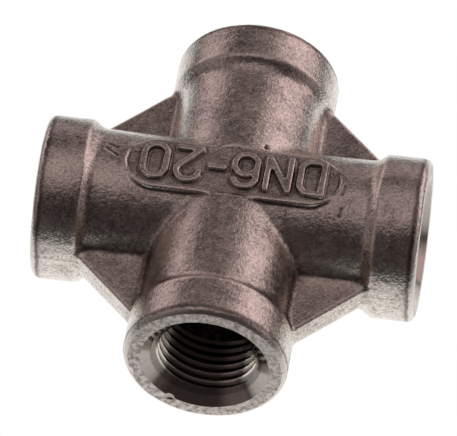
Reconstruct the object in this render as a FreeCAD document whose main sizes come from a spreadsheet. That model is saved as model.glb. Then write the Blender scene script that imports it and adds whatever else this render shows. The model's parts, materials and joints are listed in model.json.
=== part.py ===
import FreeCAD, Part
import Sketcher
import math
import os

# A cross fitting with four equal female threaded ports. On the real thing one
# casting carries everything; here it is divided into the regions a fitter has
# names for, which meet face to face: the hub where the two necks cross, four
# sockets, four webs, and the raised size marking.
#
# Millimetres. The origin is where the two bores cross. The marked barrel runs
# along X, the other one along Y, and the marked side faces +Z.

doc = FreeCAD.newDocument("cross_fitting")

# ---------------------------------------------------------------- dimensions

SIZES = [
    ("arm_length", 17.0),        # bore crossing to each end face
    ("neck_radius", 6.55),
    ("socket_root", 9.6),        # where a socket takes over from the hub
    ("band_radius", 7.3),
    ("band_width", 3.95),        # end face to the start of the shoulder
    ("shoulder_run", 0.8),       # slope from the band down to the neck
    ("rim_round", 0.65),
    ("thread_radius", 4.283),    # crests of a 1/8 inch parallel pipe thread
    ("mouth_radius", 5.67),      # chamfer at the end face
    ("mouth_depth", 1.3),
    ("waterway_radius", 4.0),
    ("web_thickness", 2.25),
    ("web_reach", 20.06),        # x + y along the sloping outer edge
    ("web_inset", 4.8),          # inner corner of the blank, inside the necks
    ("pad_level", 6.38),         # flat that carries the marking
    ("pad_length", 19.0),
    ("pad_width", 5.6),
    ("pad_floor", 4.6),          # underside of the pad's blank, inside the neck
    ("mark_length", 16.4),
    ("mark_height", 4.2),
    ("mark_stroke", 0.55),
    ("mark_relief", 0.45),
    ("mark_gap", 0.95),          # between the centre lines' boxes of neighbours
    ("mark_dash", 0.6),          # a dash's length as a share of a letter's width
]

sheet = doc.addObject("Spreadsheet::Sheet", "sizes")
for row, (alias, value) in enumerate(SIZES, start=1):
    sheet.set("A%d" % row, alias)
    sheet.set("B%d" % row, str(value))
    sheet.setAlias("B%d" % row, alias)
doc.recompute()


def cell(alias):
    """The value of one named size."""
    return float(sheet.get(alias))


def bind(obj, **sizes):
    """Tie an object's properties to expressions in the sheet's names."""
    for prop, expression in sizes.items():
        obj.setExpression(prop, expression)


def turned(degrees):
    """A turn about the vertical axis through the bore crossing."""
    return FreeCAD.Placement(FreeCAD.Vector(0, 0, 0),
                             FreeCAD.Rotation(FreeCAD.Vector(0, 0, 1), degrees))


# ------------------------------------------------------------- shared blanks

ALONG_X = FreeCAD.Rotation(FreeCAD.Vector(0, 1, 0), 90)
ALONG_Y = FreeCAD.Rotation(FreeCAD.Vector(1, 0, 0), -90)


def barrel(name, rotation, axis, radius, half_length):
    """A cylinder centred on the bore crossing, lying along X or Y."""
    rod = doc.addObject("Part::Cylinder", name)
    bind(rod, Radius=radius, Height="2 * (%s)" % half_length)
    rod.Placement.Rotation = rotation
    rod.setExpression("Placement.Base." + axis, "-(%s)" % half_length)
    return rod


def stadium(name, bottom, height):
    """A plate with round ends, as long and wide as the marking pad."""
    middle = doc.addObject("Part::Box", name + "_middle")
    bind(middle, Length="sizes.pad_length - sizes.pad_width",
         Width="sizes.pad_width", Height=height)
    middle.setExpression("Placement.Base.x", "(sizes.pad_width - sizes.pad_length) / 2")
    middle.setExpression("Placement.Base.y", "-sizes.pad_width / 2")
    middle.setExpression("Placement.Base.z", bottom)
    pieces = [middle]
    for side, sign in (("left", "-"), ("right", "")):
        end = doc.addObject("Part::Cylinder", name + "_" + side)
        bind(end, Radius="sizes.pad_width / 2", Height=height)
        end.setExpression("Placement.Base.x",
                          sign + "(sizes.pad_length - sizes.pad_width) / 2")
        end.setExpression("Placement.Base.z", bottom)
        pieces.append(end)
    plate = doc.addObject("Part::MultiFuse", name)
    plate.Shapes = pieces
    plate.Refine = True
    return plate


neck_along_x = barrel("neck_along_x", ALONG_X, "x",
                      "sizes.neck_radius", "sizes.socket_root")
neck_along_y = barrel("neck_along_y", ALONG_Y, "y",
                      "sizes.neck_radius", "sizes.socket_root")
way_along_x = barrel("way_along_x", ALONG_X, "x",
                     "sizes.waterway_radius", "sizes.socket_root")
way_along_y = barrel("way_along_y", ALONG_Y, "y",
                     "sizes.waterway_radius", "sizes.socket_root")

# ----------------------------------------------------------------------- hub

pad_blank = stadium("pad_blank", "sizes.pad_floor", "sizes.pad_level - sizes.pad_floor")
pad_recess = stadium("pad_recess", "sizes.pad_level", "sizes.neck_radius")

hub_outside = doc.addObject("Part::MultiFuse", "hub_outside")
hub_outside.Shapes = [neck_along_x, neck_along_y, pad_blank]

hub_hollow = doc.addObject("Part::MultiFuse", "hub_hollow")
hub_hollow.Shapes = [way_along_x, way_along_y, pad_recess]

hub = doc.addObject("Part::Cut", "hub")
hub.Base = hub_outside
hub.Tool = hub_hollow
hub.Label = "hub"


# ------------------------------------------------------------------- sockets

def origin_feature(body, role):
    """One of a body's own origin planes or axes."""
    for feature in body.Origin.OriginFeatures:
        if feature.Role == role:
            return feature
    raise RuntimeError("no " + role)


def socket_profile(sketch):
    """The half section of a socket: x from the bore crossing, y outwards."""
    face = cell("arm_length")
    root = cell("socket_root")
    band_start = face - cell("band_width")
    foot = band_start - cell("shoulder_run")
    neck = cell("neck_radius")
    band = cell("band_radius")
    rim = cell("rim_round")
    bore = cell("thread_radius")
    mouth = cell("mouth_radius")
    mouth_end = face - cell("mouth_depth")

    corners = [(root, bore), (root, neck), (foot, neck), (band_start, band),
               (face - rim, band), (face, band - rim), (face, mouth), (mouth_end, bore)]
    arc = 4
    lines = []
    for number, (start, end) in enumerate(zip(corners, corners[1:] + corners[:1])):
        a = FreeCAD.Vector(start[0], start[1], 0)
        b = FreeCAD.Vector(end[0], end[1], 0)
        if number == arc:
            # The rim is rounded, so this side is a quarter circle.
            centre = FreeCAD.Vector(face - rim, band - rim, 0)
            circle = Part.Circle(centre, FreeCAD.Vector(0, 0, 1), rim)
            side = Part.ArcOfCircle(circle, 0, math.pi / 2)
        else:
            side = Part.LineSegment(a, b)
        lines.append(sketch.addGeometry(side, False))

    # Each side joins the next one. The quarter circle runs the other way
    # round, so the band joins its end (2) and the face its start (1), and
    # both joints are tangent.
    for number in lines:
        after = (number + 1) % len(lines)
        if arc not in (number, after):
            sketch.addConstraint(Sketcher.Constraint("Coincident", number, 2, after, 1))
    sketch.addConstraint(Sketcher.Constraint("Tangent", arc - 1, 2, arc, 2))
    sketch.addConstraint(Sketcher.Constraint("Tangent", arc, 1, arc + 1, 1))
    for number in (0, 5):
        sketch.addConstraint(Sketcher.Constraint("Vertical", number))
    for number in (1, 3, 7):
        sketch.addConstraint(Sketcher.Constraint("Horizontal", number))

    distances = [
        ("DistanceX", 0, 1, "sizes.socket_root", root),
        ("DistanceY", 0, 1, "sizes.thread_radius", bore),
        ("DistanceY", 0, 2, "sizes.neck_radius", neck),
        ("DistanceX", 1, 2, "sizes.arm_length - sizes.band_width - sizes.shoulder_run", foot),
        ("DistanceX", 2, 2, "sizes.arm_length - sizes.band_width", band_start),
        ("DistanceY", 2, 2, "sizes.band_radius", band),
        ("DistanceX", 5, 1, "sizes.arm_length", face),
        ("DistanceY", 5, 2, "sizes.mouth_radius", mouth),
        ("DistanceX", 6, 2, "sizes.arm_length - sizes.mouth_depth", mouth_end),
    ]
    for kind, side, point, expression, value in distances:
        index = sketch.addConstraint(Sketcher.Constraint(kind, -1, 1, side, point, value))
        sketch.setExpression("Constraints[%d]" % index, expression)
    index = sketch.addConstraint(Sketcher.Constraint("Radius", arc, rim))
    sketch.setExpression("Constraints[%d]" % index, "sizes.rim_round")


def make_socket(name, degrees):
    """A neck end with its thickened band and threaded port, turned to its place."""
    body = doc.addObject("PartDesign::Body", name)
    body.Label = name
    sketch = body.newObject("Sketcher::SketchObject", name + "_section")
    sketch.AttachmentSupport = [(origin_feature(body, "XY_Plane"), "")]
    sketch.MapMode = "FlatFace"
    socket_profile(sketch)
    turning = body.newObject("PartDesign::Revolution", name + "_turned")
    turning.Profile = sketch
    turning.ReferenceAxis = (sketch, ["H_Axis"])
    turning.Angle = 360
    body.Tip = turning
    body.Placement = turned(degrees)
    return body


SIDES = [("right", 0), ("back", 90), ("left", 180), ("front", 270)]
sockets = {}
for side, degrees in SIDES:
    sockets[side] = make_socket("socket_" + side, degrees)


# ---------------------------------------------------------------------- webs

def make_web(name, degrees, first_side, second_side):
    """A flat gusset in the corner between two necks, cut to fit round them."""
    blank = doc.addObject("PartDesign::Body", name + "_blank")
    sketch = blank.newObject("Sketcher::SketchObject", name + "_outline")
    sketch.AttachmentSupport = [(origin_feature(blank, "XY_Plane"), "")]
    sketch.MapMode = "FlatFace"
    inset = cell("web_inset")
    far = cell("web_reach") - inset
    corners = [(inset, inset), (far, inset), (inset, far)]
    for start, end in zip(corners, corners[1:] + corners[:1]):
        sketch.addGeometry(Part.LineSegment(FreeCAD.Vector(start[0], start[1], 0),
                                            FreeCAD.Vector(end[0], end[1], 0)), False)
    for number in range(3):
        sketch.addConstraint(Sketcher.Constraint("Coincident", number, 2,
                                                 (number + 1) % 3, 1))
    sketch.addConstraint(Sketcher.Constraint("Horizontal", 0))
    sketch.addConstraint(Sketcher.Constraint("Vertical", 2))
    ends = [
        ("DistanceX", 0, 1, "sizes.web_inset", inset),
        ("DistanceY", 0, 1, "sizes.web_inset", inset),
        ("DistanceX", 0, 2, "sizes.web_reach - sizes.web_inset", far),
        ("DistanceY", 1, 2, "sizes.web_reach - sizes.web_inset", far),
    ]
    for kind, line, point, expression, value in ends:
        index = sketch.addConstraint(Sketcher.Constraint(kind, -1, 1, line, point, value))
        sketch.setExpression("Constraints[%d]" % index, expression)
    plate = blank.newObject("PartDesign::Pad", name + "_plate")
    plate.Profile = sketch
    plate.Midplane = True
    plate.setExpression("Length", "sizes.web_thickness")
    blank.Tip = plate
    blank.Placement = turned(degrees)

    web = doc.addObject("Part::Cut", name)
    web.Base = blank
    around = doc.addObject("Part::MultiFuse", name + "_neighbours")
    around.Shapes = [neck_along_x, neck_along_y,
                     sockets[first_side], sockets[second_side]]
    web.Tool = around
    web.Label = name
    return web


WEBS = [("web_back_right", 0, "right", "back"),
        ("web_back_left", 90, "back", "left"),
        ("web_front_left", 180, "left", "front"),
        ("web_front_right", 270, "front", "right")]
webs = []
for name, degrees, first_side, second_side in WEBS:
    webs.append(make_web(name, degrees, first_side, second_side))


# ------------------------------------------------------------------- marking

half_stroke = cell("mark_stroke") / 2
relief = cell("mark_relief")
tall = cell("mark_height") - cell("mark_stroke")
gap = cell("mark_gap")
dash_share = cell("mark_dash")
characters = "DN6-20"
wide = ((cell("mark_length") - 2 * half_stroke - gap * (len(characters) - 1))
        / (len(characters) - 1 + dash_share))
corner = wide / 2


def dot(x, y):
    """The round end of a stroke."""
    return Part.makeCylinder(half_stroke, relief, FreeCAD.Vector(x, y, 0))


def straight(x1, y1, x2, y2):
    """A straight stroke with round ends."""
    length = math.hypot(x2 - x1, y2 - y1)
    bar = Part.makeBox(length, 2 * half_stroke, relief, FreeCAD.Vector(0, -half_stroke, 0))
    angle = math.degrees(math.atan2(y2 - y1, x2 - x1))
    bar.Placement = FreeCAD.Placement(FreeCAD.Vector(x1, y1, 0),
                                      FreeCAD.Rotation(FreeCAD.Vector(0, 0, 1), angle))
    return [bar, dot(x1, y1), dot(x2, y2)]


def bend(x, y, radius, start, end):
    """A stroke along an arc, with round ends; angles in degrees."""
    up = FreeCAD.Vector(0, 0, 1)
    middle = FreeCAD.Vector(x, y, 0)
    outside = Part.makeCylinder(radius + half_stroke, relief, middle, up, end - start)
    inside = Part.makeCylinder(radius - half_stroke, relief, middle, up, end - start)
    ring = outside.cut(inside)
    ring.rotate(middle, up, start)
    pieces = [ring]
    for angle in (start, end):
        turn = math.radians(angle)
        pieces.append(dot(x + radius * math.cos(turn), y + radius * math.sin(turn)))
    return pieces


def strokes(character):
    """The centre lines of one character, from its lower left corner."""
    if character == "D":
        return (straight(0, 0, 0, tall) + straight(0, 0, wide - corner, 0)
                + straight(0, tall, wide - corner, tall)
                + straight(wide, corner, wide, tall - corner)
                + bend(wide - corner, corner, corner, 270, 360)
                + bend(wide - corner, tall - corner, corner, 0, 90))
    if character == "N":
        return (straight(0, 0, 0, tall) + straight(0, tall, wide, 0)
                + straight(wide, 0, wide, tall))
    if character == "6":
        return (straight(0, corner, 0, tall - corner)
                + bend(corner, tall - corner, corner, 20, 180)
                + bend(corner, corner, corner, 180, 360)
                + bend(corner, tall / 2 - corner / 2, corner, 0, 180)
                + straight(wide, corner, wide, tall / 2 - corner / 2))
    if character == "2":
        top = tall - corner
        turn = math.radians(-25)
        return (bend(corner, top, corner, -25, 180)
                + straight(corner + corner * math.cos(turn), top + corner * math.sin(turn), 0, 0)
                + straight(0, 0, wide, 0))
    if character == "0":
        return (straight(0, corner, 0, tall - corner)
                + straight(wide, corner, wide, tall - corner)
                + bend(corner, corner, corner, 180, 360)
                + bend(corner, tall - corner, corner, 0, 180))
    if character == "-":
        return straight(0, tall / 2, wide * dash_share, tall / 2)
    raise ValueError(character)


solids = []
left = half_stroke - cell("mark_length") / 2
for character in characters:
    pieces = strokes(character)
    glyph = pieces[0].multiFuse(pieces[1:]).removeSplitter()
    glyph.translate(FreeCAD.Vector(left, -tall / 2, 0))
    solids.extend(glyph.Solids)
    left += (wide * dash_share if character == "-" else wide) + gap

size_marking = doc.addObject("Part::Feature", "size_marking")
size_marking.Label = "size_marking"
size_marking.Shape = Part.makeCompound(solids)
# The characters read from the back of the fitting: their tops point to the front.
size_marking.Placement = FreeCAD.Placement(
    FreeCAD.Vector(0, 0, cell("pad_level")),
    FreeCAD.Rotation(FreeCAD.Vector(0, 0, 1), 180))

# -------------------------------------------------------- checks and writing

doc.recompute()
for obj in doc.Objects:
    if "Invalid" in obj.State or "Error" in obj.State:
        raise RuntimeError("%s did not compute: %s" % (obj.Label, obj.State))

nodes = [hub] + list(sockets.values()) + webs + [size_marking]
for node in nodes:
    shape = node.Shape
    if shape.isNull() or not shape.isValid() or not shape.Solids:
        raise RuntimeError("%s has no sound shape" % node.Label)

# Neighbouring regions only touch: nothing is counted twice.
for number, node in enumerate(nodes):
    for other in nodes[number + 1:]:
        shared = node.Shape.common(other.Shape).Volume
        if shared > 0.001:
            raise RuntimeError("%s and %s overlap by %.4f mm3"
                               % (node.Label, other.Label, shared))

os.makedirs("parts", exist_ok=True)
for node in nodes:
    node.Shape.exportStep("parts/%s.step" % node.Label)
    box = node.Shape.BoundBox
    print("%-16s %2d solids %9.2f mm3  x %6.2f %6.2f  y %6.2f %6.2f  z %6.2f %6.2f"
          % (node.Label, len(node.Shape.Solids), node.Shape.Volume,
             box.XMin, box.XMax, box.YMin, box.YMax, box.ZMin, box.ZMax))
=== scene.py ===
# %% [markdown]
# # A cast cross fitting, from casting to thread
# A cross fitting joins four pipes. The real one is a single investment casting in
# stainless steel: wax copies of it are dipped in ceramic, the wax is melted out and
# steel is poured in. That leaves a fine, sparkling skin and soft inner corners. Then
# only the four ports are machined: faced, chamfered and tapped.
#
# This lesson goes the same way. It casts one solid with soft corners, machines the
# ports into it, and at the end divides it into the named regions of the frame.

# %% Load the frame
import json
import math

import bpy
import numpy as np
from mathutils import Matrix, Vector
from mathutils.geometry import intersect_point_line


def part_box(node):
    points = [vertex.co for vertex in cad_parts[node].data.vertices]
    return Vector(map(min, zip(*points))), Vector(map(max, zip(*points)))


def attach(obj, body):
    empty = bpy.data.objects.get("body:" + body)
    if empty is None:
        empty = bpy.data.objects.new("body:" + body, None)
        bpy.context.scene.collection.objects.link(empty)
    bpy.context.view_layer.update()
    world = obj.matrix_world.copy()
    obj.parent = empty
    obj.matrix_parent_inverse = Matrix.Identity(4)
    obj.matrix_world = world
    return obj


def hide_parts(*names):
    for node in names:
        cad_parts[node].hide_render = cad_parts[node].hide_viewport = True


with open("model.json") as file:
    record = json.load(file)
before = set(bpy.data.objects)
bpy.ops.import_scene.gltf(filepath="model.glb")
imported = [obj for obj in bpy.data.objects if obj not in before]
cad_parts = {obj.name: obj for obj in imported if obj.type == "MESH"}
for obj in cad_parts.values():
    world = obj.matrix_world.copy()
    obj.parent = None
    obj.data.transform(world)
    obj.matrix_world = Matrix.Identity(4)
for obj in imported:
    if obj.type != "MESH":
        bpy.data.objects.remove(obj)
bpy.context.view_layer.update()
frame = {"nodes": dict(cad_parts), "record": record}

print("CAD nodes:", sorted(frame["nodes"]))

# %% [markdown]
# ## Sizes
# The fitting is only 34 mm across. Many of Blender's tools have small built-in
# distances that suit objects the size of furniture, so everything is modelled a
# thousand times up, with one unit for a millimetre, and brought down to metres in
# one step at the end. The main sizes are read from the frame, never typed again.

# %% Read the driving sizes, in millimetres
MM = 1000.0


def frame_box(node):
    """A node's lowest and highest x, y and z in millimetres, to a hundredth."""
    low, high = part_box(node)
    return [round(c * MM, 2) for c in low], [round(c * MM, 2) for c in high]


socket_low, socket_high = frame_box("socket_right")
hub_low = frame_box("hub")[0]
web_low, web_high = frame_box("web_back_right")
mark_low, mark_high = frame_box("size_marking")
ports = {m["name"]: m["dims"] for m in frame["record"]["mounts"]}

ARM = socket_high[0]                 # crossing of the bores to an end face
SOCKET_ROOT = socket_low[0]          # where a socket takes over from the hub
BAND_RADIUS = socket_high[2]
NECK_RADIUS = -hub_low[2]
WEB_THICKNESS = round(web_high[2] - web_low[2], 2)
PAD_LEVEL, MARK_TOP = mark_low[2], mark_high[2]
CREST_RADIUS = ports["port_right"]["r_mm"]
print("arm", ARM, "band", BAND_RADIUS, "neck", NECK_RADIUS, "web", WEB_THICKNESS,
      "pad level", PAD_LEVEL, "thread crests", CREST_RADIUS)

# %% Sizes that the boxes don't show
BAND_WIDTH = 3.95
SHOULDER_RUN = 0.8                   # how far the slope from band to neck runs
BAND_START = ARM - BAND_WIDTH
SHOULDER_FOOT = BAND_START - SHOULDER_RUN
RIM_ROUND = 0.65
WEB_REACH = 20.06                    # x + y along a web's sloping edge
PAD_HALF_LENGTH = 9.5
PAD_HALF_WIDTH = 2.8
MOUTH_RADIUS = 5.67
MOUTH_DEPTH = 1.3
WATERWAY_RADIUS = 4.0
PITCH = 25.4 / 28                    # 28 threads to the inch
THREAD_DEPTH = 0.640327 * PITCH      # the 55 degree thread's rule
ROOT_RADIUS = CREST_RADIUS + THREAD_DEPTH
ALLOWANCE = 0.06                     # extra length that facing takes off
SKIN_ROOM = 0.045                    # how far the uneven skin may stand out
ROUND = 128                          # sides that make a rod look round
print("band starts", BAND_START, "mm out, thread root radius", round(ROOT_RADIUS, 3))

# %% [markdown]
# ## Working by hand, in code
# An operator acts on whatever is selected. So before each one, everything else is
# let go. These few helpers do that, and the rest of the lesson reads like a list of
# what a person would click.

# %% Helpers for selecting, turning and finishing


def only(obj):
    """Select one object and nothing else."""
    if bpy.context.mode != "OBJECT":
        bpy.ops.object.mode_set(mode="OBJECT")
    bpy.ops.object.select_all(action="DESELECT")
    obj.select_set(True)
    bpy.context.view_layer.objects.active = obj
    return obj


def named(name):
    """Name the object that an operator has just added."""
    obj = bpy.context.object
    obj.name = name
    obj.data.name = name
    return obj


def copy_of(obj, name):
    """A copy with its own mesh."""
    twin = obj.copy()
    twin.data = obj.data.copy()
    twin.name = name
    twin.data.name = name
    bpy.context.collection.objects.link(twin)
    return only(twin)


def settle(obj):
    """Put an object's place, turn and scale into its mesh."""
    only(obj)
    bpy.ops.object.transform_apply(location=True, rotation=True, scale=True)
    return obj


def turned(obj, name, degrees):
    """A copy turned about the upright axis through the crossing."""
    twin = copy_of(obj, name)
    twin.rotation_euler = (0, 0, math.radians(degrees))
    return settle(twin)


def finish_with(obj, kind, **values):
    """Add a modifier with these settings and apply it."""
    only(obj)
    modifier = obj.modifiers.new(kind.lower(), kind)
    for name, value in values.items():
        setattr(modifier, name, value)
    bpy.ops.object.modifier_apply(modifier=modifier.name)
    return obj


def combine(obj, other, operation, materials="INDEX"):
    """A Boolean with another closed solid, which is then thrown away."""
    finish_with(obj, "BOOLEAN", solver="MANIFOLD", operation=operation, object=other,
                material_mode=materials)
    bpy.data.objects.remove(other)
    return obj


def one_of(pieces, name):
    """Join several objects' meshes in one object."""
    only(pieces[0])
    for piece in pieces[1:]:
        piece.select_set(True)
    bpy.ops.object.join()
    return named(name)


def triangles(obj):
    """How many triangles an object's mesh makes."""
    return sum(len(polygon.vertices) - 2 for polygon in obj.data.polygons)


def rod_along_x(name, radius, start, end):
    """A cylinder along X from start to end."""
    bpy.ops.mesh.primitive_cylinder_add(vertices=ROUND, radius=radius,
                                        depth=end - start,
                                        location=((start + end) / 2, 0, 0),
                                        rotation=(0, math.pi / 2, 0))
    return settle(named(name))


# %% [markdown]
# ## The cast blank
# Two equal barrels cross. Each arm ends in a thicker band, and a flat web fills each
# corner. The band starts as a cylinder: its inner cap is extruded and drawn in to make
# the sloping shoulder, and its outer rim is bevelled. One is modelled and three are
# copied, because a pattern maker would do the same.

# %% Turn one banded end


def select_ring(obj, place, tolerance=0.01):
    """In edit mode, select the vertices whose x is at a place."""
    bpy.ops.object.mode_set(mode="OBJECT")
    for vertex in obj.data.vertices:
        vertex.select = abs(vertex.co.x - place) < tolerance
    for edge in obj.data.edges:
        edge.select = all(obj.data.vertices[i].select for i in edge.vertices)
    for face in obj.data.polygons:
        face.select = all(obj.data.vertices[i].select for i in face.vertices)
    bpy.ops.object.mode_set(mode="EDIT")


def banded_end():
    """The band of the right arm, with its shoulder and rounded rim."""
    band_end = ARM + ALLOWANCE
    band = rod_along_x("band", BAND_RADIUS - SKIN_ROOM, BAND_START, band_end)
    bpy.ops.object.mode_set(mode="EDIT")
    bpy.ops.mesh.select_mode(type="VERT")
    select_ring(band, BAND_START)
    bpy.ops.mesh.extrude_region_move(
        TRANSFORM_OT_translate={"value": (SHOULDER_FOOT - BAND_START, 0, 0)})
    tucked_under = 0.02                  # keeps the foot just inside the neck
    drawn_in = (NECK_RADIUS - tucked_under) / BAND_RADIUS
    bpy.ops.transform.resize(value=(1, drawn_in, drawn_in),
                             center_override=(SHOULDER_FOOT, 0, 0))
    select_ring(band, band_end)
    bpy.ops.mesh.bevel(offset=RIM_ROUND + ALLOWANCE, segments=5, affect="EDGES")
    bpy.ops.object.mode_set(mode="OBJECT")
    return band


band = banded_end()
print("banded end:", triangles(band), "triangles")

# %% Trim one web from a block
# A web is a block in the corner between two arms, with its outer corner cut away
# along the slope. Bisect cuts, drops the outer part and fills the cut in one go.


def corner_web():
    """The web between the right and back arms."""
    inset = NECK_RADIUS * 0.7
    far = WEB_REACH - inset
    middle = (inset + far) / 2
    bpy.ops.mesh.primitive_cube_add(size=1, location=(middle, middle, 0),
                                    scale=(far - inset, far - inset, WEB_THICKNESS))
    web = settle(named("web"))
    bpy.ops.object.mode_set(mode="EDIT")
    bpy.ops.mesh.select_all(action="SELECT")
    bpy.ops.mesh.bisect(plane_co=(WEB_REACH / 2, WEB_REACH / 2, 0), plane_no=(1, 1, 0),
                        use_fill=True, clear_outer=True)
    bpy.ops.object.mode_set(mode="OBJECT")
    return web


web = corner_web()
print("web:", triangles(web), "triangles")

# %% Put the blank together
neck = rod_along_x("neck", NECK_RADIUS, 1 - ARM, ARM - 1)
blank_parts = [neck, turned(neck, "neck_across", 90)]
for quarter in (90, 180, 270):
    blank_parts.append(turned(band, "band_copy", quarter))
    blank_parts.append(turned(web, "web_copy", quarter))
casting = one_of(blank_parts + [band, web], "casting")
print("blank:", triangles(casting), "triangles, still separate shells")

# %% [markdown]
# ## Soft inner corners
# Wax and ceramic can't hold a sharp inner corner, so on a casting every valley is
# rounded. A Voxel Remesh melts the shells into one skin of small squares. Then only
# the valleys are smoothed: a vertex is in a valley when its neighbours lie on the
# outer side of it, and the mark is spread to the skin around by averaging.

# %% Melt the shells together
ROUGH_VOXEL = 0.2                    # the first skin's squares, in millimetres
finish_with(casting, "REMESH", mode="VOXEL", voxel_size=ROUGH_VOXEL)
finish_with(casting, "SMOOTH", factor=0.5, iterations=2)
print("one skin:", len(casting.data.polygons), "faces")

# %% Find the valleys and soften them


class Skin:
    """A mesh as arrays: for each vertex, its neighbours and how hollow it is there."""

    def __init__(self, mesh):
        self.count = len(mesh.vertices)
        places = np.empty(self.count * 3)
        mesh.vertices.foreach_get("co", places)
        places = places.reshape(-1, 3)
        normals = np.empty(self.count * 3)
        mesh.vertex_normals.foreach_get("vector", normals)
        normals = normals.reshape(-1, 3)
        ends = np.empty(len(mesh.edges) * 2, dtype=np.int64)
        mesh.edges.foreach_get("vertices", ends)
        ends = ends.reshape(-1, 2)
        both_ways = np.concatenate([ends, ends[:, ::-1]])
        self.here, self.there = both_ways[:, 0], both_ways[:, 1]
        self.neighbours = np.bincount(self.here, minlength=self.count)
        across = places[self.there] - places[self.here]
        self.rise = np.einsum("ij,ij->i", across, normals[self.here])
        self.reach = np.linalg.norm(across, axis=1)

    def around(self, value):
        """The mean of an edge's value over the edges that leave each vertex."""
        total = np.bincount(self.here, weights=value, minlength=self.count)
        return total / self.neighbours


def mark_valleys(obj, name, spread):
    """A vertex group that is 1 in the valleys of a mesh and fades out around them."""
    skin = Skin(obj.data)
    surely_hollow = 0.06 * ROUGH_VOXEL   # neighbours this much higher mean a valley
    weight = np.clip(skin.around(skin.rise) / surely_hollow, 0, 1)
    for _ in range(spread):
        weight = np.maximum(weight * 0.9, skin.around(weight[skin.there]))
    weight = np.clip(weight * 1.4, 0, 1)
    group = obj.vertex_groups.new(name=name)
    levels = 20                          # a group takes one weight per call
    steps = np.round(weight * levels).astype(int)
    for level in range(1, levels + 1):
        members = np.flatnonzero(steps == level)
        group.add(members.tolist(), level / levels, "REPLACE")
    return int((steps > 0).sum())


marked = mark_valleys(casting, "valleys", spread=5)
finish_with(casting, "SMOOTH", factor=0.5, iterations=45, vertex_group="valleys")
finish_with(casting, "SMOOTH", factor=0.5, iterations=2)
casting.vertex_groups.clear()
print("softened", marked, "vertices in and around the valleys")

# %% [markdown]
# ## The marking
# A flat with round ends runs along the top of the marked barrel. It stands proud of
# the round neck along its long sides and dips just below the crest at its ends. The
# raised characters are the frame's own, so a copy of that node is stretched down into
# the flat and melted in with it.

# %% Plane the flat with round ends


def stadium(name, bottom, top):
    """An upright plate with round ends, as long and wide as the pad."""
    straight = PAD_HALF_LENGTH - PAD_HALF_WIDTH
    bpy.ops.mesh.primitive_cylinder_add(vertices=96, radius=PAD_HALF_WIDTH,
                                        depth=top - bottom,
                                        location=(0, 0, (bottom + top) / 2))
    plate = settle(named(name))
    for vertex in plate.data.vertices:
        if abs(vertex.co.x) > 0.001:
            vertex.co.x += math.copysign(straight, vertex.co.x)
    return plate


PAD_ROOTS = 1.5                      # how deep the pad reaches into the barrel
combine(casting, stadium("pad", PAD_LEVEL - PAD_ROOTS, PAD_LEVEL), "UNION")
combine(casting, stadium("recess", PAD_LEVEL, PAD_LEVEL + 2), "DIFFERENCE")
print("flat at", PAD_LEVEL, "mm above the crossing")

# %% Raise the characters
marks = copy_of(frame["nodes"]["size_marking"], "characters")
marks.parent = None
for key in list(marks.keys()):
    del marks[key]
marks.data.materials.clear()
marks.scale = (MM, MM, MM)
settle(marks)
bpy.ops.object.mode_set(mode="EDIT")
bpy.ops.mesh.select_all(action="SELECT")
bpy.ops.mesh.remove_doubles(threshold=0.001)
bpy.ops.transform.resize(value=(1, 1, 2), center_override=(0, 0, MARK_TOP))
bpy.ops.object.mode_set(mode="OBJECT")
casting = one_of([casting, marks], "casting")
print("characters stand", round(MARK_TOP - PAD_LEVEL, 2), "mm high")

# %% [markdown]
# ## The skin
# A second, finer remesh melts the characters in, and a little smoothing rounds every
# edge as the mould would. The skin of a casting is never quite even, so two soft
# noises push it in and out by a few hundredths of a millimetre. Decimate then spends
# the faces where the shape needs them.

# %% Melt in the characters and round the edges
FINE_VOXEL = 0.1
finish_with(casting, "REMESH", mode="VOXEL", voxel_size=FINE_VOXEL)
finish_with(casting, "SMOOTH", factor=0.5, iterations=6)
print("fine skin:", len(casting.data.polygons), "faces")

# %% Make the skin uneven


def push(obj, name, size, depth, detail):
    """Push the skin in and out by a soft noise; size and depth in millimetres."""
    noise = bpy.data.textures.new(name, "CLOUDS")
    noise.noise_scale = size
    noise.noise_depth = detail
    finish_with(obj, "DISPLACE", texture=noise, texture_coords="LOCAL",
                strength=depth, mid_level=0.55)


push(casting, "swell", size=3.0, depth=0.05, detail=0)
push(casting, "grit", size=0.4, depth=0.019, detail=1)
print("skin pushed in and out by up to", SKIN_ROOM, "mm")

# %% [markdown]
# Wax is injected between two halves of a tool, and where they meet it leaves a thin
# raised line round the outside, at half height. The pattern is dressed by hand, so the
# line is low. The small scars are the marks that castings get when they tumble
# together in a bin. Both are pushed into the skin before the faces are thinned.

# %% Raise the parting line
PARTING_HEIGHT = 0.045
PARTING_HALF_WIDTH = 0.14
parting = casting.vertex_groups.new(name="parting")
for vertex in casting.data.vertices:
    near = 1 - abs(vertex.co.z) / PARTING_HALF_WIDTH
    if near > 0:
        parting.add([vertex.index], near, "REPLACE")
finish_with(casting, "DISPLACE", strength=PARTING_HEIGHT, mid_level=0,
            vertex_group="parting")
casting.vertex_groups.clear()
print("parting line", PARTING_HEIGHT, "mm high")

# %% Press in a few dents


def dent(obj, start, end, direction, size, depth):
    """Push the skin along a short line inwards, fading out over a size."""
    start, end = Vector(start), Vector(end)
    push_in = Vector(direction).normalized() * depth
    for vertex in obj.data.vertices:
        if (vertex.co - start).length > (end - start).length + size:
            continue
        nearest, share = intersect_point_line(vertex.co, start, end)
        nearest = start.lerp(end, min(max(share, 0), 1))
        reach = (vertex.co - nearest).length / size
        if reach < 1:
            vertex.co += push_in * (1 - reach * reach) ** 2


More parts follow.
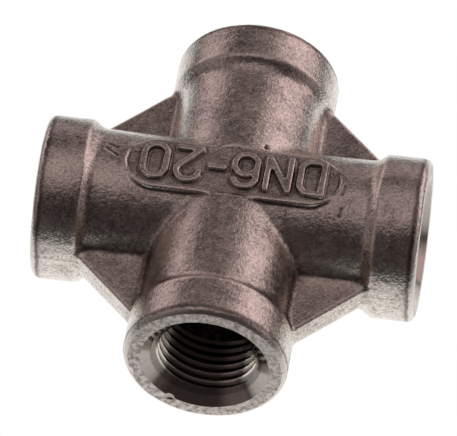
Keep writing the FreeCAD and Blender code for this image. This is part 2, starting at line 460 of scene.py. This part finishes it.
DENTS = [
    # each has a start, an end, a direction to push in, a size and a depth
    # a pit by the marked flat, then the scars at its left end
    ((2.4, 3.45, 6.1), (2.5, 3.45, 6.1), (-0.3, 0, -1), 0.30, 0.20),
    ((-11.3, 0.9, 6.5), (-10.3, 0.2, 6.5), (0, 0, -1), 0.34, 0.09),
    ((-11.2, 1.5, 6.4), (-10.4, 1.1, 6.4), (0, 0, -1), 0.30, 0.07),
    # short scratches on the right neck
    ((9.3, -0.6, 6.5), (9.4, 0.4, 6.5), (0, 0, -1), 0.26, 0.06),
    ((9.8, -1.2, 6.4), (9.9, -0.2, 6.5), (0, 0, -1), 0.26, 0.06),
    ((9.8, -3.2, 5.7), (9.9, -2.6, 6.0), (0, 0.4, -0.9), 0.30, 0.07),
    # a chip in the front rim
    ((-6.6, -16.95, -2.3), (-6.55, -16.9, -1.9), (0.8, 0.5, 0.3), 0.45, 0.25),
]
for start, end, direction, size, depth in DENTS:
    dent(casting, start, end, direction, size, depth)
print(len(DENTS), "dents")

# %% Thin the faces out
KEEP_FACES = 0.5
finish_with(casting, "DECIMATE", ratio=KEEP_FACES)
print("skin:", triangles(casting), "triangles")

# %% [markdown]
# ## Machining the ports
# Each port gets a flat face, a countersunk mouth, a bore and a thread. The thread is a
# real helix: a groove's cross section is drawn once, and the Screw modifier drives it
# round and along the bore, just as a tap does. It runs out through the countersink, so
# the first turns fade into the cone. All the tools are joined into one cutter, so that
# the casting is cut only once.

# %% Draw the groove of the thread
TURNS = 8
STEPS = 96                           # steps in one turn
FLANK = math.radians(27.5)           # half of the thread's 55 degrees
RUN_OUT = 0.98                       # plain bore beyond the thread's inner end


def thread_groove():
    """The solid that a tap cuts away between the crests, running along X."""
    slope = math.tan(FLANK)
    root_flat = PITCH / 12
    crest_half = root_flat + THREAD_DEPTH * slope
    # half of the outline, from just inside the crest out to the root, corners eased
    outline = [
        (crest_half + 0.05, CREST_RADIUS - 0.1),
        (crest_half + 0.02, CREST_RADIUS),
        (crest_half - 0.05, CREST_RADIUS + 0.06),
        (root_flat + 0.05 * slope, ROOT_RADIUS - 0.07),
        (root_flat * 0.5, ROOT_RADIUS),
    ]
    outline = outline + [(-x, r) for x, r in reversed(outline)]
    mesh = bpy.data.meshes.new("groove")
    count = len(outline)
    mesh.from_pydata([(x, 0, r) for x, r in outline],
                     [(i, (i + 1) % count) for i in range(count)], [])
    groove = bpy.data.objects.new("groove", mesh)
    bpy.context.collection.objects.link(groove)
    finish_with(groove, "SCREW", axis="X", angle=math.tau * TURNS,
                screw_offset=PITCH * TURNS, steps=STEPS * TURNS,
                render_steps=STEPS * TURNS)
    bpy.ops.object.mode_set(mode="EDIT")
    bpy.ops.mesh.select_all(action="DESELECT")
    bpy.ops.mesh.select_non_manifold()
    bpy.ops.mesh.edge_face_add()
    bpy.ops.mesh.select_all(action="SELECT")
    bpy.ops.mesh.normals_make_consistent(inside=False)
    bpy.ops.object.mode_set(mode="OBJECT")
    return groove


groove = thread_groove()
groove.location.x = SOCKET_ROOT + RUN_OUT
settle(groove)
print("groove:", triangles(groove), "triangles,", TURNS, "turns of", round(PITCH, 3), "mm")

# %% [markdown]
# ## Three finishes on one casting
# The skin stays as it was cast. The end faces are faced off dry, which leaves a satin
# grey ring, and the mouth and thread are cut with oil, so they shine. The Boolean
# carries each tool's material over to the faces that the tool cuts. So the tools get
# their materials first, and the waterways, which nothing machines, get the skin's.

# %% Name the finishes
cast_skin = bpy.data.materials.new("cast_skin")
faced_steel = bpy.data.materials.new("faced_steel")
cut_steel = bpy.data.materials.new("cut_steel")


def coat(obj, material):
    """Give a solid one material and no other."""
    obj.data.materials.clear()
    obj.data.materials.append(material)
    return obj


# %% Build one port's cutter and copy it round


def port_cutter():
    """Everything that is machined away at the right port."""
    cutter = coat(rod_along_x("facing", BAND_RADIUS + 2, ARM, ARM + 3), faced_steel)
    slope = (MOUTH_RADIUS - CREST_RADIUS) / MOUTH_DEPTH
    past_face = 0.5
    bpy.ops.mesh.primitive_cone_add(
        vertices=ROUND, radius1=CREST_RADIUS, radius2=MOUTH_RADIUS + past_face * slope,
        depth=MOUTH_DEPTH + past_face,
        location=(ARM + (past_face - MOUTH_DEPTH) / 2, 0, 0),
        rotation=(0, math.pi / 2, 0))
    countersink = settle(named("countersink"))
    bore = rod_along_x("bore", CREST_RADIUS, SOCKET_ROOT, ARM)
    for tool in (countersink, bore, groove):
        combine(cutter, coat(tool, cut_steel), "UNION", "TRANSFER")
    return cutter


cutter = port_cutter()
print("port cutter:", triangles(cutter), "triangles")

# %% Join the four cutters and the waterways
cutters = [cutter] + [turned(cutter, "cutter_copy", quarter) for quarter in (90, 180, 270)]
waterway = rod_along_x("waterway", WATERWAY_RADIUS, -SOCKET_ROOT - 1, SOCKET_ROOT + 1)
coat(waterway, cast_skin)
combine(waterway, turned(waterway, "waterway_across", 90), "UNION", "TRANSFER")
for tool in cutters:
    combine(waterway, tool, "UNION", "TRANSFER")
NICK_RADIUS, NICK_ABOVE_FACE = 0.8, 0.62     # a slip of the tool at the front mouth
bpy.ops.mesh.primitive_ico_sphere_add(subdivisions=3, radius=NICK_RADIUS,
                                      location=(-2.95, -ARM - NICK_ABOVE_FACE, -4.8))
combine(waterway, coat(settle(named("nick")), cut_steel), "UNION", "TRANSFER")
print("all tools:", triangles(waterway), "triangles")

# %% Cut the ports
combine(coat(casting, cast_skin), waterway, "DIFFERENCE", "TRANSFER")
for slot, material in enumerate(casting.data.materials):
    faces = sum(1 for face in casting.data.polygons if face.material_index == slot)
    print(material.name, "on", faces, "faces")
print("casting:", triangles(casting), "triangles")

# %% [markdown]
# ## Where scale and painted shade sit, and where edges get painted highlights
# Blasting doesn't reach the bottom of a narrow valley, so dark scale stays round the
# characters and at the foot of each shoulder, and the valleys are darkened further as
# painted shade. The edges that stand out are rubbed bright in the bin, and are lightened
# further as a painted highlight. Both follow the shape, so each vertex is told how hollow
# the skin is around it: above 1 in a valley, 1 where it is even, and below 1 on an edge.
# The material reads that later. Nought is kept for vertices that a later cut adds.

# %% Note how hollow the skin is


def note_hollows(obj, name, spread):
    """Store the curvature of the skin on its vertices, softened over some neighbours."""
    skin = Skin(obj.data)
    shortest, tightest, most = 0.02, 4, 0.9      # limits that tame tiny faces
    curving = skin.around(2 * skin.rise / np.maximum(skin.reach, shortest) ** 2)
    curving = np.clip(curving, -tightest, tightest)
    for _ in range(spread):
        curving = 0.4 * curving + 0.6 * skin.around(curving[skin.there])
    hollow = 1 + np.clip(curving, -most, most)
    note = obj.data.attributes.new(name, "FLOAT", "POINT")
    note.data.foreach_set("value", hollow.astype(np.float32))
    return hollow


hollow = note_hollows(casting, "hollow", spread=3)
print("hollow between", round(float(hollow.min()), 2), "and", round(float(hollow.max()), 2))

# %% [markdown]
# ## Named regions
# The casting is divided where the frame divides it, so that every region of the frame
# has a finished piece of its own. Each piece is a closed solid. The cuts are
# inside the metal, and on the outside the skin runs on across them unbroken.

# %% Divide the casting


def block(name, low, high):
    """A box from its lowest to its highest corner."""
    middle = [(a + b) / 2 for a, b in zip(low, high)]
    size = [b - a for a, b in zip(low, high)]
    bpy.ops.mesh.primitive_cube_add(size=1, location=middle, scale=size)
    return settle(named(name))


def part_off(casting, name, low, high):
    """Take what lies in a box out of the casting, as a piece of its own."""
    piece = copy_of(casting, name)
    combine(piece, block("inside", low, high), "INTERSECT")
    combine(casting, block("inside", low, high), "DIFFERENCE")
    return piece


def span(node, wider=0.0):
    """A node's box in millimetres, a little wider on every side."""
    low, high = frame_box(node)
    return [c - wider for c in low], [c + wider for c in high]


MARK_MARGIN, MARK_FOOT = 0.12, 0.07  # room round the characters and under them
WEB_HALF_HEIGHT = 2.0                # clears the webs' faces above and below
CLEAR = 1                            # how far a block reaches past the outside
pieces = {}
low, high = span("size_marking", MARK_MARGIN)
low[2] = PAD_LEVEL + MARK_FOOT
pieces["size_marking"] = part_off(casting, "raised_characters", low, high)
for side in ("back_right", "back_left", "front_left", "front_right"):
    low, high = span("web_" + side)
    low[2], high[2] = -WEB_HALF_HEIGHT, WEB_HALF_HEIGHT
    pieces["web_" + side] = part_off(casting, "cast_web_" + side, low, high)
for side in ("right", "back", "left", "front"):
    low, high = span("socket_" + side)
    axis = 0 if side in ("right", "left") else 1
    across = 1 - axis
    low[across], high[across] = -BAND_RADIUS - CLEAR, BAND_RADIUS + CLEAR
    low[2], high[2] = -BAND_RADIUS - CLEAR, BAND_RADIUS + CLEAR
    if high[axis] > 0:
        high[axis] += CLEAR
    else:
        low[axis] -= CLEAR
    pieces["socket_" + side] = part_off(casting, "cast_socket_" + side, low, high)
casting.name = "cast_hub"
casting.data.name = "cast_hub"
pieces["hub"] = casting
print(len(pieces), "pieces for", len(frame["nodes"]), "nodes")

# %% [markdown]
# ## From millimetres to metres
# Every piece is brought down to real size and its notes are completed. On a real
# fitting the tool leaves a crisp line where the cast skin ends, so the edges between
# two finishes are marked sharp before the rest is shaded smooth. Then each piece is
# tied to the frame's body, and the node that it stands for is hidden.

# %% Finish each piece


def fill_notes(obj, name):
    """Give the vertices that the cuts added the mean of their neighbours' notes."""
    skin = Skin(obj.data)
    hollow = np.empty(skin.count, dtype=np.float32)
    note = obj.data.attributes[name]
    note.data.foreach_get("value", hollow)
    for _ in range(4):
        known = (hollow > 0).astype(float)
        share = skin.around(known[skin.there])
        mean = skin.around((hollow * known)[skin.there]) / np.maximum(share, 0.001)
        hollow = np.where((hollow > 0) | (share == 0), hollow, mean)
    note.data.foreach_set("value", hollow.astype(np.float32))


def crisp_borders(obj):
    """Mark the edges where one finish meets another as sharp."""
    only(obj)
    bpy.ops.object.mode_set(mode="EDIT")
    bpy.ops.mesh.select_mode(type="FACE")
    for slot in range(len(obj.data.materials)):
        bpy.ops.mesh.select_all(action="DESELECT")
        obj.active_material_index = slot
        bpy.ops.object.material_slot_select()
        bpy.ops.mesh.region_to_loop()
        bpy.ops.mesh.mark_sharp()
        bpy.ops.mesh.select_mode(type="FACE")
    bpy.ops.object.mode_set(mode="OBJECT")


SMOOTH_BELOW = math.radians(40)
for node, piece in pieces.items():
    piece.scale = (1 / MM, 1 / MM, 1 / MM)
    settle(piece)
    fill_notes(piece, "hollow")
    crisp_borders(piece)
    bpy.ops.object.shade_smooth_by_angle(angle=SMOOTH_BELOW)
    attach(piece, "root")
    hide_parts(node)
    print(node, "->", piece.name, triangles(piece), "triangles")

# %% [markdown]
# ## Building materials from a few small steps
# All three finishes are steel, so they share the same Principled shader with Metallic
# at 1. What sets them apart is how the colour varies, how rough they are and how fine
# their relief is. Each of those is a noise of a known size in millimetres, stretched
# to the range that is wanted. The helpers below make one such step each. The noises
# read Object coordinates, so they stay on the metal wherever it is moved.

# %% Helpers for materials


def node_of(tree, kind, **sockets):
    """Add a node; each value is set on the input socket of that name."""
    node = tree.nodes.new("ShaderNode" + kind)
    for name, value in sockets.items():
        node.inputs[name.replace("_", " ")].default_value = value
    return node


def noise(tree, place, size, detail=2.0, roughness=0.5):
    """A noise whose blobs are about so many millimetres across."""
    node = node_of(tree, "TexNoise", Scale=MM / size, Detail=detail, Roughness=roughness)
    tree.links.new(place, node.inputs["Vector"])
    return node.outputs["Fac"]


def stretch(tree, value, low, high, to_low, to_high, kind="LINEAR"):
    """Stretch a value from one range to another, and hold it there."""
    node = node_of(tree, "MapRange", From_Min=low, From_Max=high,
                   To_Min=to_low, To_Max=to_high)
    node.interpolation_type = kind
    tree.links.new(value, node.inputs["Value"])
    return node.outputs["Result"]


def sum_of(tree, operation, first, second):
    """A sum on two values, either of which may be a plain number."""
    node = tree.nodes.new("ShaderNodeMath")
    node.operation = operation
    for socket, value in zip(node.inputs, (first, second)):
        if isinstance(value, (int, float)):
            socket.default_value = value
        else:
            tree.links.new(value, socket)
    return node.outputs["Value"]


def blend_of(tree, parts):
    """Several noises added in the given shares."""
    total = None
    for value, share in parts:
        part = sum_of(tree, "MULTIPLY", value, share)
        total = part if total is None else sum_of(tree, "ADD", total, part)
    return total


def between(tree, amount, first, second):
    """A colour between two others; either may come from another node."""
    node = tree.nodes.new("ShaderNodeMix")
    node.data_type = "RGBA"
    tree.links.new(amount, node.inputs["Factor"])
    colours = [socket for socket in node.inputs if socket.type == "RGBA"]
    for socket, colour in zip(colours, (first, second)):
        if isinstance(colour, tuple):
            socket.default_value = (*colour, 1)
        else:
            tree.links.new(colour, socket)
    return [socket for socket in node.outputs if socket.type == "RGBA"][0]


def relief(tree, height, depth, under=None):
    """Shade a height map as relief; depth in millimetres."""
    node = node_of(tree, "Bump", Strength=1.0, Distance=depth / MM)
    tree.links.new(height, node.inputs["Height"])
    if under is not None:
        tree.links.new(under, node.inputs["Normal"])
    return node.outputs["Normal"]


def port_measures(tree, place):
    """How far a point lies along its arm, and how far from the arm's axis."""
    sides = node_of(tree, "SeparateXYZ")
    tree.links.new(place, sides.inputs[0])
    to_right = sum_of(tree, "ABSOLUTE", sides.outputs["X"], 0)
    to_back = sum_of(tree, "ABSOLUTE", sides.outputs["Y"], 0)
    along = sum_of(tree, "MAXIMUM", to_right, to_back)
    across = sum_of(tree, "MINIMUM", to_right, to_back)
    squares = sum_of(tree, "ADD", sum_of(tree, "POWER", across, 2),
                     sum_of(tree, "MULTIPLY", sides.outputs["Z"], sides.outputs["Z"]))
    return along, sum_of(tree, "SQRT", squares, 0)


def start_steel(material):
    """Turn on a metal's nodes with Metallic at 1; gives its tree, shader and place on the
    object.
    """
    material.use_nodes = True
    tree = material.node_tree
    shader = tree.nodes["Principled BSDF"]
    shader.inputs["Metallic"].default_value = 1.0
    place = node_of(tree, "TexCoord").outputs["Object"]
    return tree, shader, place


# %% [markdown]
# ## Cast skin
# The skin copies the ceramic mould, which is fine sand. So it's covered in grains a
# fifth of a millimetre across, each shining a little differently. Between them lie
# tiny dark pits that hold scale, and over a few millimetres the tone drifts, because
# blasting doesn't clean every place alike. The relief does most of the work: with a
# fairly smooth steel under it, each grain mirrors another bit of the studio.
#
# Over that go the notes on how hollow the skin is: scale and painted shade in the valleys,
# rubbed steel and a painted highlight on the edges. Round each port a bright rim is painted
# as a highlight, with a ragged dark line of painted shade behind it. Inside the waterways
# the skin is darkened as painted shade.

# %% Make the cast skin
# A dark brown for scale and painted shade in the valleys, and for painted shade behind the port
# rims.
SCALE_AND_SHADE_BROWN = (0.13, 0.105, 0.09)
# The brown of the painted shade inside the waterways.
INSIDE_SHADE_BROWN = (0.10, 0.08, 0.07)
tree, shader, place = start_steel(cast_skin)
grains = noise(tree, place, 0.2, 2, 0.55)
mottle = noise(tree, place, 0.75, 3, 0.6)
patches = noise(tree, place, 3.5, 3, 0.6)
tone = blend_of(tree, [(grains, 0.5), (mottle, 0.25), (patches, 0.25)])
tone = stretch(tree, tone, 0.40, 0.60, 0, 1)
clean = between(tree, tone, (0.46, 0.412, 0.376), (0.90, 0.815, 0.735))
scaled = stretch(tree, patches, 0.38, 0.52, 0.12, 0)
pits = sum_of(tree, "ADD", noise(tree, place, 0.28, 2, 0.6), scaled)
pits = stretch(tree, pits, 0.60, 0.72, 0, 0.75)
pitted = between(tree, pits, clean, (0.25, 0.215, 0.195))
note = node_of(tree, "Attribute")
note.attribute_name = "hollow"
# Darker in the valleys: partly scale, partly painted shade in the creases.
scale = stretch(tree, note.outputs["Fac"], 1.15, 1.75, 0, 0.8)
scale_and_shade_over = between(tree, scale, pitted, SCALE_AND_SHADE_BROWN)
# Lighter on the edges: partly rubbed wear, partly a painted highlight.
rubbed_and_highlit = stretch(tree, note.outputs["Fac"], 0.85, 0.35, 0, 0.5)
worn_and_highlit = between(tree, rubbed_and_highlit, scale_and_shade_over, (0.86, 0.78, 0.71))
along, off_axis = port_measures(tree, place)
ragged = sum_of(tree, "ADD", along, sum_of(tree, "MULTIPLY", mottle, 0.5 / MM))
# Painted shade: a ragged dark line just behind each end. Painted highlight: a bright rim at the
# end itself.
painted_shade_line = stretch(tree, ragged, (ARM - 0.65) / MM, (ARM - 0.4) / MM, 0, 0.8)
painted_highlight_rim = stretch(tree, ragged, (ARM - 0.25) / MM, (ARM - 0.12) / MM, 0, 0.95)
shade_lined = between(tree, painted_shade_line, worn_and_highlit, SCALE_AND_SHADE_BROWN)
highlight_rimmed = between(tree, painted_highlight_rim, shade_lined, (0.78, 0.71, 0.65))
# Painted shade: the skin close to the bore axis, inside the waterways, is darkened.
inside = stretch(tree, off_axis, (CREST_RADIUS + 0.2) / MM, (CREST_RADIUS + 0.6) / MM, 0.85, 0)
tree.links.new(between(tree, inside, highlight_rimmed, INSIDE_SHADE_BROWN), shader.inputs["Base Color"])
tree.links.new(stretch(tree, mottle, 0.35, 0.65, 0.20, 0.28), shader.inputs["Roughness"])
waves = relief(tree, mottle, 0.045)
tree.links.new(relief(tree, grains, 0.036, under=waves), shader.inputs["Normal"])
print("cast skin:", len(tree.nodes), "nodes")

# %% [markdown]
# ## Faced ends
# A facing tool tears a cast surface slightly, so the ring round each port is satin
# grey, blotched where the tool only just touched the casting.

# %% Make the faced steel
tree, shader, place = start_steel(faced_steel)
blotches = noise(tree, place, 0.5, 5, 0.7)
touched = stretch(tree, blotches, 0.38, 0.60, 0, 1)
tree.links.new(between(tree, touched, (0.22, 0.19, 0.175), (0.66, 0.59, 0.54)),
               shader.inputs["Base Color"])
shader.inputs["Roughness"].default_value = 0.32
tree.links.new(relief(tree, noise(tree, place, 0.2), 0.03), shader.inputs["Normal"])
print("faced steel:", len(tree.nodes), "nodes")

# %% [markdown]
# ## Cut mouth and thread
# The countersink and the thread are the smoothest metal on the part. Painted shade darkens
# the bore, so the colour goes by how far along its arm a point lies: bright at the mouth,
# dark by the last turns. The grooves are given painted shade, the countersink a middle
# tone, and the crests of the thread a painted highlight.

# %% Make the cut steel
DARK_FROM, BRIGHT_FROM = ARM - 4.6, ARM - 1.4
# The first colour is painted shade deep in the bore; the second is the steel as lit near the
# mouth.
DEEP_SHADE, BARE = (0.07, 0.056, 0.05), (1.0, 0.90, 0.80)
tree, shader, place = start_steel(cut_steel)
along, off_axis = port_measures(tree, place)
# Painted shade: darker the deeper a point lies in the bore.
lit_toward_mouth = stretch(tree, along, DARK_FROM / MM, BRIGHT_FROM / MM, 0, 1)
# Painted highlight on the thread crests, painted shade down in the grooves.
crest = stretch(tree, off_axis, (CREST_RADIUS + 0.20) / MM, (CREST_RADIUS + 0.03) / MM, 0.12, 1)
lit_crests = sum_of(tree, "MULTIPLY", lit_toward_mouth, crest)
cone = stretch(tree, off_axis, (ROOT_RADIUS + 0.02) / MM, (ROOT_RADIUS + 0.1) / MM, 0, 0.32)
film = noise(tree, place, 0.35, 3, 0.6)
shine = blend_of(tree, [(lit_crests, 1.0), (cone, 0.6), (film, 0.16)])
tree.links.new(between(tree, shine, DEEP_SHADE, BARE), shader.inputs["Base Color"])
shader.inputs["Roughness"].default_value = 0.14
print("cut steel:", len(tree.nodes), "nodes")

# %% [markdown]
# ## The floor
# Bare metal shows what stands around it far more than its own colour. So the studio
# is built for its reflections. The fitting lies on a pale table that is lit from
# close by: the light pools under it and a little behind it, and fades outwards. The
# camera sees the table as plain, even white.

# %% Lay the floor
POOL_BEHIND = 10.0                   # how far behind the crossing the pool is centred
POOL_FULL, POOL_GONE = 10.0, 68.0    # where the pool starts and stops fading
POOL_BRIGHT, POOL_FAINT = 1.14, 0.08
bpy.ops.object.select_all(action="DESELECT")
FLOOR_SIZE = 4.0                     # metres
bpy.ops.mesh.primitive_plane_add(size=1, location=(0, 0, -BAND_RADIUS / MM),
                                 scale=(FLOOR_SIZE, FLOOR_SIZE, 1))
floor = settle(named("floor"))
floor_paint = bpy.data.materials.new("floor_paint")
floor.data.materials.append(floor_paint)
floor_paint.use_nodes = True
tree = floor_paint.node_tree
tree.nodes.clear()


def seen_and_mirrored(tree, mirrored, output):
    """Plain white to the camera, and something else to the metal."""
    white = tree.nodes.new("ShaderNodeEmission" if output == "Material"
                           else "ShaderNodeBackground")
    white.inputs["Strength"].default_value = 1.0
    white.inputs["Color"].default_value = (1, 1, 1, 1)
    choice = tree.nodes.new("ShaderNodeMixShader")
    eye = tree.nodes.new("ShaderNodeLightPath")
    tree.links.new(eye.outputs["Is Camera Ray"], choice.inputs[0])
    tree.links.new(mirrored, choice.inputs[1])
    tree.links.new(white.outputs[0], choice.inputs[2])
    end = tree.nodes.new("ShaderNodeOutput" + output)
    tree.links.new(choice.outputs[0], end.inputs["Surface"])


place = node_of(tree, "TexCoord").outputs["Object"]
from_pool = node_of(tree, "VectorMath")
from_pool.operation = "DISTANCE"
from_pool.inputs[1].default_value = (0, POOL_BEHIND / MM, -BAND_RADIUS / MM)
tree.links.new(place, from_pool.inputs[0])
pool = stretch(tree, from_pool.outputs["Value"], POOL_FULL / MM, POOL_GONE / MM,
               POOL_BRIGHT, POOL_FAINT, "SMOOTHSTEP")
glow = tree.nodes.new("ShaderNodeEmission")
tree.links.new(pool, glow.inputs["Strength"])
seen_and_mirrored(tree, glow.outputs[0], "Material")
print("floor", -BAND_RADIUS, "mm below the crossing")

# %% [markdown]
# ## Soft studio light
# Around the table stand large soft cards. The strongest is low behind the fitting on
# the right, the next behind on the left, and one hangs overhead. The front of the
# room stays dark, which draws the dark flanks along the barrels. Each card is a round
# soft-edged glow in the sky of the World: the nearer a direction is to the card's
# middle, the brighter it is. The light is slightly warm in all of them.

# %% Hang the cards
WARM = (1.15, 0.93, 0.95, 1)
BARE_ROOM = 0.045                    # how bright the room is between the cards
FULL_SHARE = 0.35                    # the share of a card's half width at full strength
CARDS = [
    # azimuth from the front to the right, elevation, half width, strength
    (132, 12, 46, 0.72),
    (230, 2, 40, 0.50),
    (185, 8, 35, 0.25),
    (180, 84, 42, 0.25),
    (275, 50, 40, 0.12),
    (300, 15, 36, 0.12),
    (80, 8, 36, 0.20),
]


def direction(azimuth, elevation):
    """The unit vector towards a card, from angles in degrees."""
    around, up = math.radians(azimuth), math.radians(elevation)
    return Vector((math.sin(around) * math.cos(up), -math.cos(around) * math.cos(up),
                   math.sin(up)))


world = bpy.data.worlds.new("studio")
bpy.context.scene.world = world
world.use_nodes = True
tree = world.node_tree
tree.nodes.clear()
sight = node_of(tree, "VectorMath")
sight.operation = "NORMALIZE"
tree.links.new(node_of(tree, "TexCoord").outputs["Generated"], sight.inputs[0])
glows = []
for azimuth, elevation, half_width, strength in CARDS:
    nearness = node_of(tree, "VectorMath")
    nearness.operation = "DOT_PRODUCT"
    nearness.inputs[1].default_value = direction(azimuth, elevation)
    tree.links.new(sight.outputs["Vector"], nearness.inputs[0])
    edge = math.cos(math.radians(half_width))
    middle = math.cos(math.radians(half_width * FULL_SHARE))
    glows.append((stretch(tree, nearness.outputs["Value"], edge, middle, 0, 1,
                          "SMOOTHSTEP"), strength))
brightness = sum_of(tree, "ADD", blend_of(tree, glows), BARE_ROOM)
sky = tree.nodes.new("ShaderNodeBackground")
sky.inputs["Color"].default_value = WARM
tree.links.new(brightness, sky.inputs["Strength"])
seen_and_mirrored(tree, sky.outputs[0], "World")
print(len(CARDS), "soft cards")

# %% [markdown]
# ## The camera
# The fitting is seen from the front and about halfway up, with a long lens from far
# off, as small parts are shot, so that parallel edges stay nearly parallel. The
# camera leans over by about a degree.

# %% Place the camera
AZIMUTH, ELEVATION, LEAN = 7.29, 49.34, math.radians(1.28)
DISTANCE = 42.0 * ARM
ASIDE, RAISED = -0.0201 * ARM, 0.0024 * ARM      # puts the fitting in mid frame
LENS = 637.1
back = direction(AZIMUTH, ELEVATION)
level = Vector((math.cos(math.radians(AZIMUTH)), math.sin(math.radians(AZIMUTH)), 0))
upright = back.cross(level)
right = level * math.cos(LEAN) + upright * math.sin(LEAN)
over = upright * math.cos(LEAN) - level * math.sin(LEAN)
camera_data = bpy.data.cameras.new("camera")
camera = bpy.data.objects.new("camera", camera_data)
bpy.context.collection.objects.link(camera)
bpy.context.scene.camera = camera
camera_data.sensor_width = 36
camera_data.lens = LENS
camera_data.clip_start = 0.01
camera_data.clip_end = 100
turn = Matrix((right, over, back)).transposed()
camera.rotation_mode = "QUATERNION"
camera.rotation_quaternion = turn.to_quaternion()
camera.location = (back * DISTANCE + right * ASIDE + over * RAISED) / MM
bpy.context.scene.view_settings.view_transform = "Standard"
print("camera", round(DISTANCE / MM, 3), "m away")
